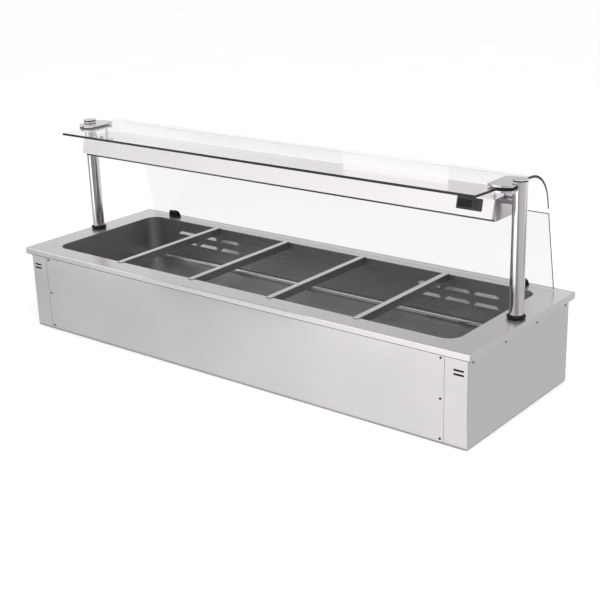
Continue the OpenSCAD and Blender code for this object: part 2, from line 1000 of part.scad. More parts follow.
// Outline of the plates: a disc cut straight on the side of the well and coped round the post.
module plate_outline(r) {
    difference() {
        intersection() {
            translate([plate_x, plate_y])
                circle(r);
            translate([plate_x - plate_in, plate_y - 2*r])
                square([plate_in + plate_out, 4*r]);
        }
        translate([post_x, post_y])
            circle(post_d/2 + fit);
    }
}

module each_clamp_screw() {
    for (s = [-1, 1])
        translate([plate_x + clamp_screw_at[0], plate_y + s*clamp_screw_at[1]])
            children();
}

// Two hangers stand at each end of the light box, under the bracket.
module each_hanger() {
    for (s = [-1, 1])
        translate([hanger_x, plate_y + s*hanger_side])
            children();
}

module clamp_plate(side) {
    color(steel)
        at_end(side)
            difference() {
                translate([0, 0, plate_low])
                    linear_extrude(plate_t)
                        plate_outline(plate_r);
                each_clamp_screw()
                    translate([0, 0, plate_low - 1])
                        cylinder(h = plate_t - screw_cover + 1, d = clamp_screw_d + fit);
            }
}

module shelf_bracket(side) {
    color(steel)
        at_end(side)
            translate([0, 0, bracket_low])
                linear_extrude(plate_t)
                    difference() {
                        plate_outline(plate_r);
                        each_clamp_screw()
                            circle(d = clamp_screw_d + fit);
                        each_hanger()
                            circle(d = hanger_d/2 + fit);
                    }
}

module glass_rubbers() {
    color(black)
        for (s = [-1, 1])
            at_end(s)
                difference() {
                    translate([0, 0, bracket_low + plate_t])
                        linear_extrude(plate_low - bracket_low - plate_t)
                            difference() {
                                plate_outline(plate_r - rubber_back);
                                each_clamp_screw()
                                    circle(d = clamp_screw_d + fit);
                            }
                    translate([0, 0, shelf_low])
                        linear_extrude(shelf_t)
                            shelf_plan(fit);
                }
}

module clamp_screws() {
    color(dark_steel)
        for (s = [-1, 1])
            at_end(s)
                each_clamp_screw() {
                    translate([0, 0, bracket_low - clamp_head_h])
                        difference() {
                            cylinder(h = clamp_head_h, d = clamp_head_d);
                            translate([0, 0, -1])
                                cylinder(h = clamp_socket_h + 1, d = clamp_socket_d, $fn = 6);
                        }
                    translate([0, 0, bracket_low - eps])
                        cylinder(h = plate_low + plate_t - screw_cover - screw_end_gap - bracket_low,
                                 d = clamp_screw_d);
                }
}

module box_hangers() {
    color(steel)
        for (s = [-1, 1])
            at_end(s)
                each_hanger()
                    translate([0, 0, box_top]) {
                        cylinder(h = hanger_foot_h, d = hanger_foot_d);
                        cylinder(h = bracket_low - box_top, d = hanger_d);
                        cylinder(h = bracket_low - box_top + plate_t - hanger_end_gap, d = hanger_d/2);
                    }
}

// Glass

// Line along the sheet at radius r from the axis of the bend, from the front edge to the lower edge.
function bend_line(r) = concat(
    [[-shelf_front - bend_y, r]],
    [for (i = [0:bend_n]) let (a = 90 - i*(90 - lean)/bend_n) r*[cos(a), sin(a)]],
    [r*[cos(lean), sin(lean)] + tail_l*[sin(lean), -cos(lean)]]);

function turned(points) = [for (i = [len(points) - 1:-1:0]) points[i]];

// Plan of the upper glass, grown by gap at its ends. It widens from the front corners to the bend.
module shelf_plan(gap) {
    front = glass_front_x + gap;
    rear = glass_x + gap;
    polygon([[-front, -shelf_front], [front, -shelf_front], [rear, bend_y], [rear, top_d/2],
             [-rear, top_d/2], [-rear, bend_y]]);
}

module shelf_glass() {
    color(clear)
        intersection() {
            translate([0, bend_y, bend_z])
                rotate([90, 0, 90])
                    linear_extrude(2*post_x, center = true)
                        polygon(concat(bend_line(bend_r), turned(bend_line(bend_r - shelf_t))));
            translate([0, 0, deck_z])
                linear_extrude(shelf_top - deck_z + 1)
                    shelf_plan(0);
        }
}

module lower_glass() {
    color(clear)
        translate([-glass_x, pane_y, pane_low])
            rotate([lean, 0, 0])
                translate([0, -pane_t/2, 0])
                    cube([2*glass_x, pane_t, pane_l]);
}

module glass_foot(side) {
    depth = foot_y[1] - foot_y[0];
    axis_h = knob_z - deck_z;
    color(black)
        at_end(side)
            difference() {
                translate([foot_x, foot_y[1], deck_z])
                    rotate([90, 0, 0])
                        linear_extrude(depth) {
                            translate([-foot_w/2, 0])
                                square([foot_w, foot_h]);
                            translate([-cheek_d/2, 0])
                                square([cheek_d, axis_h]);
                            translate([0, axis_h])
                                circle(cheek_d/2);
                        }
                translate([foot_x, foot_screw_y, deck_z - 1])
                    cylinder(h = foot_h - 1, d = screw_d + fit);
                translate([foot_x - foot_w, pane_y, pane_low])
                    rotate([lean, 0, 0])
                        translate([0, -pane_t/2 - fit, -fit])
                            cube([2*foot_w, pane_t + 2*fit, 3*knob_d]);
                translate([foot_x, foot_y[0] - 1, knob_z])
                    rotate([-90, 0, 0])
                        cylinder(h = pane_y - foot_y[0], d = stud_d + 2*stud_clear);
            }
}

module foot_screws() {
    color(dark_steel)
        for (s = [-1, 1])
            translate([s*foot_x, foot_screw_y, 0]) {
                translate([0, 0, deck_under - screw_head_h])
                    cylinder(h = screw_head_h, d = screw_head_d);
                translate([0, 0, deck_under - eps])
                    cylinder(h = top_t + foot_h - foot_screw_short, d = screw_d);
            }
}

module glass_knob(side) {
    lobe_r = knob_d*0.14;
    glass_face = pane_y - (knob_z + stud_d/2 - pane_low)*tan(lean) - pane_t/2/cos(lean);
    reach = glass_face - stud_gap - knob_front - knob_t;
    color(black)
        at_end(side)
            translate([foot_x, knob_front, knob_z])
                rotate([-90, 0, 0]) {
                    linear_extrude(knob_t - knob_hub_rise)
                        difference() {
                            circle(knob_d/2);
                            for (i = [0:knob_lobes - 1])
                                rotate([0, 0, (i + 0.5)*360/knob_lobes])
                                    translate([knob_d/2 + lobe_r*0.45, 0])
                                        circle(lobe_r);
                        }
                    cylinder(h = knob_t, d = knob_d*0.5);
                    translate([0, 0, knob_t - eps])
                        cylinder(h = reach, d = stud_d);
                }
}

// Light box

module box_profile() {
    side = box_t/cos(box_tilt);
    low = box_half(box_lip_z);
    inner_top = box_half(box_top - box_t) - side;
    lip_in = low - box_lip_w;
    lip_up = box_half(box_lip_z + box_t) - side;
    polygon([[-low, box_lip_z], [-box_half(box_top), box_top], [box_half(box_top), box_top], [low, box_lip_z],
             [lip_in, box_lip_z], [lip_in, box_lip_z + box_t], [lip_up, box_lip_z + box_t],
             [inner_top, box_top - box_t], [-inner_top, box_top - box_t], [-lip_up, box_lip_z + box_t],
             [-lip_in, box_lip_z + box_t], [-lip_in, box_lip_z]]);
}

// Places a profile drawn in depth and height along the light box.
module along_box(l) {
    translate([0, post_y, 0])
        rotate([90, 0, 90])
            linear_extrude(l, center = true) children();
}

// Frame of the controller's face: x along the box, y up the slope and z out of it.
module on_slope() {
    translate([ctrl_x, post_y - box_half(ctrl_z), ctrl_z])
        rotate([90 - box_tilt, 0, 0]) children();
}

module light_box_cover() {
    color(steel)
        difference() {
            along_box(2*(box_x - box_end_t)) box_profile();
            on_slope()
                translate([-ctrl_body_w/2 - fit, -ctrl_body_h/2 - fit, -ctrl_body_d/2])
                    cube([ctrl_body_w + 2*fit, ctrl_body_h + 2*fit, ctrl_body_d]);
        }
}

module light_box_end(side) {
    low = box_half(box_lip_z);
    color(steel)
        at_end(side)
            difference() {
                translate([box_x - box_end_t/2, 0, 0])
                    along_box(box_end_t)
                        polygon([[-low, box_lip_z], [-box_half(box_top), box_top], [box_half(box_top), box_top],
                                 [low, box_lip_z], [tray_w/2, box_lip_z], [tray_w/2, box_low],
                                 [-tray_w/2, box_low], [-tray_w/2, box_lip_z]]);
                translate([0, post_y, rail_z])
                    rotate([0, 90, 0])
                        cylinder(h = post_x, d = rail_d + fit);
            }
}

module lamp_tray() {
    color(dark_steel)
        along_box(2*(box_x - box_end_t))
            difference() {
                translate([-tray_w/2, box_low])
                    square([tray_w, tray_h]);
                translate([-tray_w/2 + box_t, box_low + box_t])
                    square([tray_w - 2*box_t, tray_h - 2*box_t]);
                translate([-tray_w/2 + tray_lip, box_low - 1])
                    square([tray_w - 2*tray_lip, box_t + 2]);
            }
}

module each_bay() {
    for (i = [0:bays - 1])
        translate([(i - (bays - 1)/2)*bay_pitch, post_y, 0]) children();
}

module heat_lamps() {
    color([0.90, 0.86, 0.80])
        each_bay()
            translate([0, 0, lamp_z])
                rotate([0, 90, 0]) {
                    cylinder(h = lamp_l, d = lamp_d, center = true);
                    for (s = [-1, 1])
                        translate([0, 0, s*(lamp_l - lamp_cap_l)/2])
                            cylinder(h = lamp_cap_l, d = lamp_cap_d, center = true);
                }
}

module lamp_holders() {
    top = box_low + tray_h - box_t;
    low = lamp_z - lamp_cap_d/2 - holder_under;
    color([0.88, 0.87, 0.84])
        each_bay()
            for (s = [-1, 1])
                difference() {
                    translate([s*(lamp_l - lamp_cap_l)/2 - holder_t/2, -holder_w/2, low])
                        cube([holder_t, holder_w, top - low]);
                    translate([s*(lamp_l - lamp_cap_l)/2, 0, lamp_z])
                        rotate([0, 90, 0])
                            cylinder(h = holder_t + 2, d = lamp_cap_d + fit, center = true);
                }
}

module lamp_guard() {
    l = 2*(box_x - box_end_t - fit);
    w = tray_w - 2*box_t - 2*fit;
    color(steel)
        translate([0, post_y, box_low + box_t])
            linear_extrude(guard_t) {
                difference() {
                    square([l, w], center = true);
                    square([l - 2*tray_lip, w - 2*tray_lip], center = true);
                }
                for (i = [1:guard_long_n])
                    translate([0, (i/(guard_long_n + 1) - 0.5)*w])
                        square([l - 2*tray_lip + 1, guard_bar], center = true);
                for (i = [1:guard_cross_n])
                    translate([(i/(guard_cross_n + 1) - 0.5)*l, 0])
                        square([guard_bar, w - 2*tray_lip + 1], center = true);
            }
}

// Controller

// Middle of a key on the controller's face.
function key_at(i) = [key_mid + (i % 2 - 0.5)*key_col, (0.5 - floor(i/2))*key_row];

module controller_body() {
    color(black)
        on_slope()
            difference() {
                union() {
                    linear_extrude(bezel_t - bezel_step)
                        rrect(ctrl_w, ctrl_h, bezel_r);
                    linear_extrude(bezel_t)
                        rrect(ctrl_w - 2*bezel_step, ctrl_h - 2*bezel_step, bezel_r - bezel_step/2);
                    translate([-ctrl_body_w/2, -ctrl_body_h/2, -ctrl_body_d])
                        cube([ctrl_body_w, ctrl_body_h, ctrl_body_d + 1]);
                }
                translate([display_x, 0, display_low])
                    linear_extrude(2*display_t)
                        square([display_w, display_h], center = true);
                for (i = [0:key_n - 1])
                    translate([key_at(i)[0], key_at(i)[1], bezel_t - key_pocket])
                        linear_extrude(key_pocket + 1)
                            rrect(key_w + 2*key_clear, key_h + 2*key_clear, key_r + key_clear);
            }
}

module controller_display() {
    color([0.05, 0.05, 0.07])
        on_slope()
            translate([display_x, 0, display_low])
                linear_extrude(display_t)
                    square([display_w - fit, display_h - fit], center = true);
}

module controller_key(i) {
    key_low = bezel_t - key_pocket + key_travel + key_clear;
    color([0.22, 0.22, 0.24])
        on_slope()
            translate([key_at(i - 1)[0], key_at(i - 1)[1], key_low])
                linear_extrude(bezel_t + key_proud - key_low)
                    rrect(key_w, key_h, key_r);
}

countertop();
well_tub();
well_insulation();
base_pan();
end_panel(-1);  // end_panel_left
end_panel(1);  // end_panel_right
rear_panel();
front_panel();
casing_screws();
air_duct(-1);  // air_duct_left
air_duct(1);  // air_duct_right
fan_frame(-1);  // fan_frame_left
fan_frame(1);  // fan_frame_right
fan_rotor(-1);  // fan_rotor_left
fan_rotor(1);  // fan_rotor_right
air_heater(-1);  // air_heater_left
air_heater(1);  // air_heater_right
terminal_box();
cable_gland();
divider_bar(1);  // divider_bar_1
divider_bar(2);  // divider_bar_2
divider_bar(3);  // divider_bar_3
divider_bar(4);  // divider_bar_4
post(-1);  // post_left
post(1);  // post_right
post_boot(-1);  // post_boot_left
post_boot(1);  // post_boot_right
post_cap(-1);  // post_cap_left
post_cap(1);  // post_cap_right
cap_seals();
post_bolts();
cross_rail();
clamp_plate(-1);  // clamp_plate_left
clamp_plate(1);  // clamp_plate_right
shelf_bracket(-1);  // shelf_bracket_left
shelf_bracket(1);  // shelf_bracket_right
glass_rubbers();
clamp_screws();
box_hangers();
shelf_glass();
lower_glass();
glass_foot(-1);  // glass_foot_left
glass_foot(1);  // glass_foot_right
foot_screws();
glass_knob(-1);  // glass_knob_left
glass_knob(1);  // glass_knob_right
light_box_cover();
light_box_end(-1);  // light_box_end_left
light_box_end(1);  // light_box_end_right
lamp_tray();
heat_lamps();
lamp_holders();
lamp_guard();
controller_body();
controller_display();
controller_key(1);  // controller_key_1
controller_key(2);  // controller_key_2
controller_key(3);  // controller_key_3
controller_key(4);  // controller_key_4
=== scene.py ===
"""Looks of the drop-in bain marie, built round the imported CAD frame. Metres, Z up, standing on z = 0."""

import json
import math

import bmesh
import bpy
from mathutils import Euler, Matrix, Vector


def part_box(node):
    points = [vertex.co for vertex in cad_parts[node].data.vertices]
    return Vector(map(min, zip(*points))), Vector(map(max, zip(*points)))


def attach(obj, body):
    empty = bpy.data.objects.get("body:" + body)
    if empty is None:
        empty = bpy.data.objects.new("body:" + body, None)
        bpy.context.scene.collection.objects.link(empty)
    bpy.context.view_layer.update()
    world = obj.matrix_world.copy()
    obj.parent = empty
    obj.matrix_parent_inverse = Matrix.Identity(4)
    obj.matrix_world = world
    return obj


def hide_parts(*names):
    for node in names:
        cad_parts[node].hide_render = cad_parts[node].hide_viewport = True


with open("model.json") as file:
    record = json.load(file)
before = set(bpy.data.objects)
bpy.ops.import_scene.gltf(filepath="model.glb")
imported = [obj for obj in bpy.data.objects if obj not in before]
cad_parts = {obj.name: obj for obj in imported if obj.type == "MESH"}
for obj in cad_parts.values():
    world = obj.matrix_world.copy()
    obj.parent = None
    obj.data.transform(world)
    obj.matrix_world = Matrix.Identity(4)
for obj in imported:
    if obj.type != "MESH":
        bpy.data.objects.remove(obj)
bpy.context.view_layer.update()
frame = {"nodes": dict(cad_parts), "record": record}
nodes = frame["nodes"]

ROOT = "unit"
DECK_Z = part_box("post_boot_left")[0].z


# Materials


def new_material(name):
    """An empty node material, its tree and its output node."""
    material = bpy.data.materials.new(name)
    material.use_nodes = True
    tree = material.node_tree
    tree.nodes.clear()
    output = tree.nodes.new("ShaderNodeOutputMaterial")
    return material, tree, output


def object_noise(tree, scale, detail=3.0, size=1.0):
    """Noise on the row frame's own coordinates, stretched by scale."""
    place = tree.nodes.new("ShaderNodeTexCoord")
    mapping = tree.nodes.new("ShaderNodeMapping")
    mapping.inputs["Scale"].default_value = scale
    noise = tree.nodes.new("ShaderNodeTexNoise")
    noise.inputs["Scale"].default_value = size
    noise.inputs["Detail"].default_value = detail
    tree.links.new(place.outputs["Object"], mapping.inputs["Vector"])
    tree.links.new(mapping.outputs["Vector"], noise.inputs["Vector"])
    return noise.outputs["Fac"]


NOISE_LOW = 0.3
NOISE_HIGH = 0.7


def spread(tree, value, low, high):
    """Maps noise, which stays near its middle, onto low to high."""
    node = tree.nodes.new("ShaderNodeMapRange")
    node.inputs["From Min"].default_value = NOISE_LOW
    node.inputs["From Max"].default_value = NOISE_HIGH
    node.inputs["To Min"].default_value = low
    node.inputs["To Max"].default_value = high
    tree.links.new(value, node.inputs["Value"])
    return node.outputs["Result"]


def tinted(tree, value, dark, light):
    """A colour between dark and light, by value."""
    mix = tree.nodes.new("ShaderNodeMix")
    mix.data_type = "RGBA"
    mix.inputs["A"].default_value = (*dark, 1)
    mix.inputs["B"].default_value = (*light, 1)
    tree.links.new(value, mix.inputs["Factor"])
    return mix.outputs["Result"]


def bumped(tree, value, strength, distance, edge=0.0):
    """A normal from a height, with edges softened by edge metres."""
    bump = tree.nodes.new("ShaderNodeBump")
    bump.inputs["Strength"].default_value = strength
    bump.inputs["Distance"].default_value = distance
    tree.links.new(value, bump.inputs["Height"])
    if edge:
        bevel = tree.nodes.new("ShaderNodeBevel")
        bevel.samples = 4
        bevel.inputs["Radius"].default_value = edge
        tree.links.new(bevel.outputs["Normal"], bump.inputs["Normal"])
    return bump.outputs["Normal"]


def painted_shade_below(tree, colour, height, fade, share):
    """Painted shade: a colour that falls to a share of itself below a height of the row frame."""
    place = tree.nodes.new("ShaderNodeTexCoord")
    split = tree.nodes.new("ShaderNodeSeparateXYZ")
    step = tree.nodes.new("ShaderNodeMapRange")
    step.inputs["From Min"].default_value = height
    step.inputs["From Max"].default_value = height + fade
    step.inputs["To Min"].default_value = share
    step.inputs["To Max"].default_value = 1.0
    scale = tree.nodes.new("ShaderNodeVectorMath")
    scale.operation = "SCALE"
    tree.links.new(place.outputs["Object"], split.inputs["Vector"])
    tree.links.new(split.outputs["Z"], step.inputs["Value"])
    tree.links.new(colour, scale.inputs[0])
    tree.links.new(step.outputs["Result"], scale.inputs["Scale"])
    return scale.outputs["Vector"]


BUMP_HEIGHT = 0.0003
CLOUD_GRAIN = (3, 3, 3)
ROUGH_DRIFT = 0.02


def steel(name, shade, rough, grain, cloud=0.03, edge=0.0004, brush=0.04, mirror=1.0, painted_shade_z=None):
    """Brushed stainless steel. grain is the stretch of the brushing along X, Y and Z, mirror the share
    that isn't scattered, and the last argument the height below which the colour darkens as painted shade."""
    material, tree, output = new_material(name)
    shader = tree.nodes.new("ShaderNodeBsdfPrincipled")
    brushing = object_noise(tree, grain, 2.0)
    clouds = object_noise(tree, CLOUD_GRAIN, 4.0)
    dark = [c*(1 - cloud) for c in shade]
    light = [min(1.0, c*(1 + cloud)) for c in shade]
    colour = tinted(tree, spread(tree, clouds, 0, 1), dark, light)
    # Painted shade: the colour darkens below the given height.
    if painted_shade_z:
        colour = painted_shade_below(tree, colour, painted_shade_z, PAINTED_SHADE_FADE, PAINTED_SHADE_SHARE)
    tree.links.new(colour, shader.inputs["Base Color"])
    both = tree.nodes.new("ShaderNodeMath")
    both.operation = "ADD"
    tree.links.new(spread(tree, brushing, -brush, brush), both.inputs[0])
    tree.links.new(spread(tree, clouds, rough - ROUGH_DRIFT, rough + ROUGH_DRIFT), both.inputs[1])
    tree.links.new(both.outputs[0], shader.inputs["Roughness"])
    shader.inputs["Metallic"].default_value = mirror
    tree.links.new(bumped(tree, brushing, brush, BUMP_HEIGHT, edge), shader.inputs["Normal"])
    tree.links.new(shader.outputs["BSDF"], output.inputs["Surface"])
    return material


SHADE_GRAIN = (30, 30, 30)
SHADE_DARK = 0.8
SHADE_LIGHT = 1.25
TEXTURE_DRIFT = 0.06


def plastic(name, shade, rough, grain_size, strength=0.15, gloss=0.3, edge=0.0006):
    """Moulded plastic or rubber with a fine texture."""
    material, tree, output = new_material(name)
    shader = tree.nodes.new("ShaderNodeBsdfPrincipled")
    texture = object_noise(tree, (grain_size, grain_size, grain_size), 4.0)
    clouds = object_noise(tree, SHADE_GRAIN, 3.0)
    dark = [c*SHADE_DARK for c in shade]
    light = [min(1.0, c*SHADE_LIGHT) for c in shade]
    tree.links.new(tinted(tree, spread(tree, clouds, 0, 1), dark, light), shader.inputs["Base Color"])
    roughness = spread(tree, texture, rough - TEXTURE_DRIFT, rough + TEXTURE_DRIFT)
    tree.links.new(roughness, shader.inputs["Roughness"])
    shader.inputs["Specular IOR Level"].default_value = gloss
    tree.links.new(bumped(tree, texture, strength, BUMP_HEIGHT, edge), shader.inputs["Normal"])
    tree.links.new(shader.outputs["BSDF"], output.inputs["Surface"])
    return material


SMUDGE_GRAIN = (5, 5, 5)
SMUDGE_ROUGH = (0.01, 0.04)


def clear_glass(name, tint, gloss):
    """Thin-walled clear glass: tinted see-through faces with a mirror share that grows at a slant."""
    material, tree, output = new_material(name)
    see = tree.nodes.new("ShaderNodeBsdfTransparent")
    see.inputs["Color"].default_value = (*tint, 1)
    shine = tree.nodes.new("ShaderNodeBsdfGlossy")
    smudge = object_noise(tree, SMUDGE_GRAIN, 3.0)
    tree.links.new(spread(tree, smudge, *SMUDGE_ROUGH), shine.inputs["Roughness"])
    fresnel = tree.nodes.new("ShaderNodeFresnel")
    fresnel.inputs["IOR"].default_value = gloss
    side = tree.nodes.new("ShaderNodeNewGeometry")
    share = tree.nodes.new("ShaderNodeMix")
    tree.links.new(side.outputs["Backfacing"], share.inputs["Factor"])
    tree.links.new(fresnel.outputs["Fac"], share.inputs["A"])
    share.inputs["B"].default_value = 0.0
    mix = tree.nodes.new("ShaderNodeMixShader")
    tree.links.new(share.outputs["Result"], mix.inputs["Fac"])
    tree.links.new(see.outputs["BSDF"], mix.inputs[1])
    tree.links.new(shine.outputs["BSDF"], mix.inputs[2])
    tree.links.new(mix.outputs["Shader"], output.inputs["Surface"])
    return material


GROUND_GRAIN = (60, 60, 60)
GROUND_ROUGH = (0.15, 0.3)
GROUND_DARK = 0.7
GROUND_LIGHT = 1.4
GROUND_GLOSS = 0.15


def cut_edge(name, shade):
    """Ground edge of a glass pane, painted near black for the light that it traps: painted shade."""
    material, tree, output = new_material(name)
    shader = tree.nodes.new("ShaderNodeBsdfPrincipled")
    texture = object_noise(tree, GROUND_GRAIN, 3.0)
    dark = [c*GROUND_DARK for c in shade]
    light = [c*GROUND_LIGHT for c in shade]
    tree.links.new(tinted(tree, spread(tree, texture, 0, 1), dark, light), shader.inputs["Base Color"])
    tree.links.new(spread(tree, texture, *GROUND_ROUGH), shader.inputs["Roughness"])
    shader.inputs["Specular IOR Level"].default_value = GROUND_GLOSS
    side = tree.nodes.new("ShaderNodeNewGeometry")
    see = tree.nodes.new("ShaderNodeBsdfTransparent")
    mix = tree.nodes.new("ShaderNodeMixShader")
    tree.links.new(side.outputs["Backfacing"], mix.inputs["Fac"])
    tree.links.new(shader.outputs["BSDF"], mix.inputs[1])
    tree.links.new(see.outputs["BSDF"], mix.inputs[2])
    tree.links.new(mix.outputs["Shader"], output.inputs["Surface"])
    return material


# Stretch of the brushing's grain along X, Y and Z.
ALONG_X = (3, 900, 900)
ALONG_Y = (900, 3, 900)
ALONG_Z = (900, 900, 3)
AROUND_Z = (30, 30, 900)

STEEL_TINT = (1.0, 0.966, 1.0)

# The counter top's front edge, and the folded edge under it, along whose lowest strip the lip's colour is
# darkened: painted shade.
NEAR = 0.0005
PAINTED_SHADE_FADE = 0.0008
PAINTED_SHADE_SHARE = 0.35
PAINTED_SHADE_H = 0.0022
LIP_EDGE_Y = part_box("countertop")[0].y
LIP_Z = min(v.co.z for v in nodes["countertop"].data.vertices if v.co.y < LIP_EDGE_Y + NEAR)
PAINTED_SHADE_Z = LIP_Z + PAINTED_SHADE_H


def grey(level):
    """The faintly violet grey of the photo's steel, at a level from 0 to 1."""
    return [level*c for c in STEEL_TINT]


MATERIALS = {
    "top_steel": steel("top_steel", grey(0.55), 0.24, ALONG_X, brush=0.015, mirror=0.80),
    # The lips get lighter copies of the top's steel for the light they catch (painted light), and the
    # front and rear lips darken along their bottom (painted shade).
    "lip_painted_light_and_shade": steel("lip_painted_light_and_shade", grey(0.87), 0.13, ALONG_X, cloud=0.015, brush=0.008, painted_shade_z=PAINTED_SHADE_Z),
    "lip_end_painted_light": steel("lip_end_painted_light", grey(0.73), 0.30, ALONG_Y, cloud=0.01, brush=0.015),
    # A darker, rougher copy on the fold between top and lips: painted shade that dims its highlight.
    "fold_painted_shade": steel("fold_painted_shade", grey(0.52), 0.36, ALONG_Y, cloud=0.01, brush=0.015),
    "case_steel": steel("case_steel", grey(0.665), 0.30, ALONG_X, brush=0.02),
    # The end walls get a copy of the casing steel, brushed along Y, with its own lighter tone for the
    # light on the ends: painted light.
    "end_steel": steel("end_steel", grey(0.70), 0.30, ALONG_Y, cloud=0.01, brush=0.015),
    # Near black on faces that look into the casing and on the walls of the vent slots: painted shade.
    "inner_painted_shade": steel("inner_painted_shade", grey(0.012), 0.60, ALONG_X),
    "base_steel": steel("base_steel", grey(0.42), 0.40, ALONG_X),
    # The well's steel is darkened for the shade inside the well: painted shade. The cove has the same dark
    # tone, smoother.
    "well_steel": steel("well_steel", grey(0.335), 0.28, ALONG_X, cloud=0.015, brush=0.007, mirror=0.85),
    "cove_steel": steel("cove_steel", grey(0.33), 0.20, ALONG_X, cloud=0.015, brush=0.007, mirror=0.9),
    # A lighter copy of the well's steel on the louvres, for the light they catch: painted light.
    "louvre_painted_light": steel("louvre_painted_light", grey(0.44), 0.42, ALONG_X, cloud=0.02, brush=0.02),
    "bar_steel": steel("bar_steel", grey(0.62), 0.30, ALONG_Y),
    # A darker copy of the bar steel on the bars' sides: painted shade.
    "bar_side_painted_shade": steel("bar_side_painted_shade", grey(0.28), 0.32, ALONG_Y, brush=0.02, mirror=0.85),
    "tube_steel": steel("tube_steel", grey(0.62), 0.16, AROUND_Z, cloud=0.01, brush=0.015),
    # A darker copy of the light box's steel on its end caps: painted shade.
    "box_end_painted_shade": steel("box_end_painted_shade", grey(0.55), 0.24, ALONG_Z, cloud=0.02, brush=0.03),
    # A polished copy on the light box's top, lighter than its sides: the polish is real, the extra
    # lightness painted light.
    "box_top_steel": steel("box_top_steel", grey(0.90), 0.05, ALONG_X, cloud=0.01, brush=0.01),
    "tray_steel": steel("tray_steel", grey(0.06), 0.35, ALONG_X),
    "plate_steel": steel("plate_steel", grey(0.62), 0.22, ALONG_X),
    "light_box_steel": steel("light_box_steel", grey(0.74), 0.26, ALONG_X, cloud=0.015, brush=0.015),
    "hidden_steel": steel("hidden_steel", grey(0.22), 0.42, ALONG_X),
    "screw_steel": steel("screw_steel", grey(0.03), 0.40, ALONG_X),
    "rubber": plastic("rubber", (0.008, 0.008, 0.009), 0.5, 700, gloss=0.12),
    "black_plastic": plastic("black_plastic", (0.028, 0.028, 0.029), 0.38, 900, gloss=0.25),
    "display": plastic("display", (0.009, 0.009, 0.010), 0.14, 200, 0.02, gloss=0.15),
    "keys": plastic("keys", (0.018, 0.018, 0.020), 0.45, 900),
    # The insulation's dark tone stands partly for the shade inside the casing, seen through the vents:
    # painted shade.
    "insulation": plastic("insulation", (0.10, 0.09, 0.07), 0.9, 300, 0.6, gloss=0.1),
    "ceramic": plastic("ceramic", (0.80, 0.79, 0.75), 0.35, 400, 0.05),
    "lamp": plastic("lamp", (0.85, 0.82, 0.76), 0.2, 300, 0.04, gloss=0.7),
    "shelf_glass": clear_glass("shelf_glass", (1.0, 0.995, 1.0), 1.35),
    "guard_glass": clear_glass("guard_glass", (0.936, 0.933, 0.941), 1.35),
    "glass_edge": cut_edge("glass_edge", (0.022, 0.022, 0.023)),
}

SLOT_OF = {row["node"]: row["material_slot"] for row in frame["record"]["subparts"]}
END_NODES = ("end_panel_left", "end_panel_right")
OWN_MATERIAL = {
    "light_box_end_left": "box_end_painted_shade",
    "light_box_end_right": "box_end_painted_shade",
    "casing_screws": "screw_steel",
    "base_pan": "base_steel",
    "lamp_tray": "tray_steel",
}
PANES = {"shelf_glass": "shelf_glass", "lower_glass": "guard_glass"}
BAR_NODES = [name for name in nodes if name.startswith("divider_bar_")]

# Places on the sheet pieces, which tell their faces apart.
FRONT_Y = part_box("front_panel")[0].y
END_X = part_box("end_panel_right")[1].x
WELL_FLANGE = 0.010
WELL_REAR_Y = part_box("well_tub")[1].y - WELL_FLANGE
WELL_END_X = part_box("well_tub")[1].x - WELL_FLANGE
WELL_T = 0.0012
WELL_FLOOR_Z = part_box("well_tub")[0].z + WELL_T
COVE_H = 0.0175
COVE_SLOPE = 0.985
LOUVRE_OUT = (0.0003, 0.008)
LOUVRE_DROP = 0.1
LOUVRE_IN = 0.06
SLOT_X = (0.012, 0.07)
SLOT_DROP = 0.12
SHEET_T = 0.0013
EDGE_H = 0.002
FOLD_H = 0.004

# How far a face's normal points along an axis.
STRAIGHT = 0.9
MOSTLY = 0.7
ACROSS = 0.5
SLANT = 0.2
SLIGHT = 0.1


def dress(piece, material):
    """Gives a piece one material on all its faces."""
    piece.data.materials.clear()
    piece.data.materials.append(material)


SHARP_ANGLE = 30
MOULDED_ANGLE = 35


def smooth(piece, limit=SHARP_ANGLE):
    """Smooth shading, with sharp edges where two faces meet at more than limit degrees."""
    mesh = piece.data
    work = bmesh.new()
    work.from_mesh(mesh)
    for face in work.faces:
        face.smooth = True
    for line in work.edges:
        if len(line.link_faces) == 2:
            line.smooth = line.calc_face_angle(0) < math.radians(limit)
    mesh.polygons.foreach_set("use_smooth", [True]*len(mesh.polygons))
    sharp = mesh.attributes.get("sharp_edge") or mesh.attributes.new("sharp_edge", "BOOLEAN", "EDGE")
    sharp.data.foreach_set("value", [not line.smooth for line in work.edges])
    work.free()
    mesh.update()


def paint(piece, choose, names):
    """Adds materials to a piece. choose names a face's material, or None for the piece's first."""
    for name in names:
        piece.data.materials.append(MATERIALS[name])
    for face in piece.data.polygons:
        chosen = choose(face)
        face.material_index = names.index(chosen) + 1 if chosen else 0


def end_panel_face(face):
    """The end wall's lighter steel (painted light), or near black where a face looks into the casing or
    lies in a vent slot (painted shade).
    """
    outward = face.normal.x*face.center.x
    beside_end = SLOT_X[0] < END_X - abs(face.center.x) < SLOT_X[1]
    through_front = abs(face.normal.y) < ACROSS and face.center.y < FRONT_Y + SHEET_T
    if beside_end and through_front and face.center.z > DECK_Z - SLOT_DROP:
        return "inner_painted_shade"
    if face.normal.y > MOSTLY or (abs(face.normal.x) > MOSTLY and outward < 0):
        return "inner_painted_shade"
    return "end_steel" if abs(face.normal.x) > MOSTLY else None


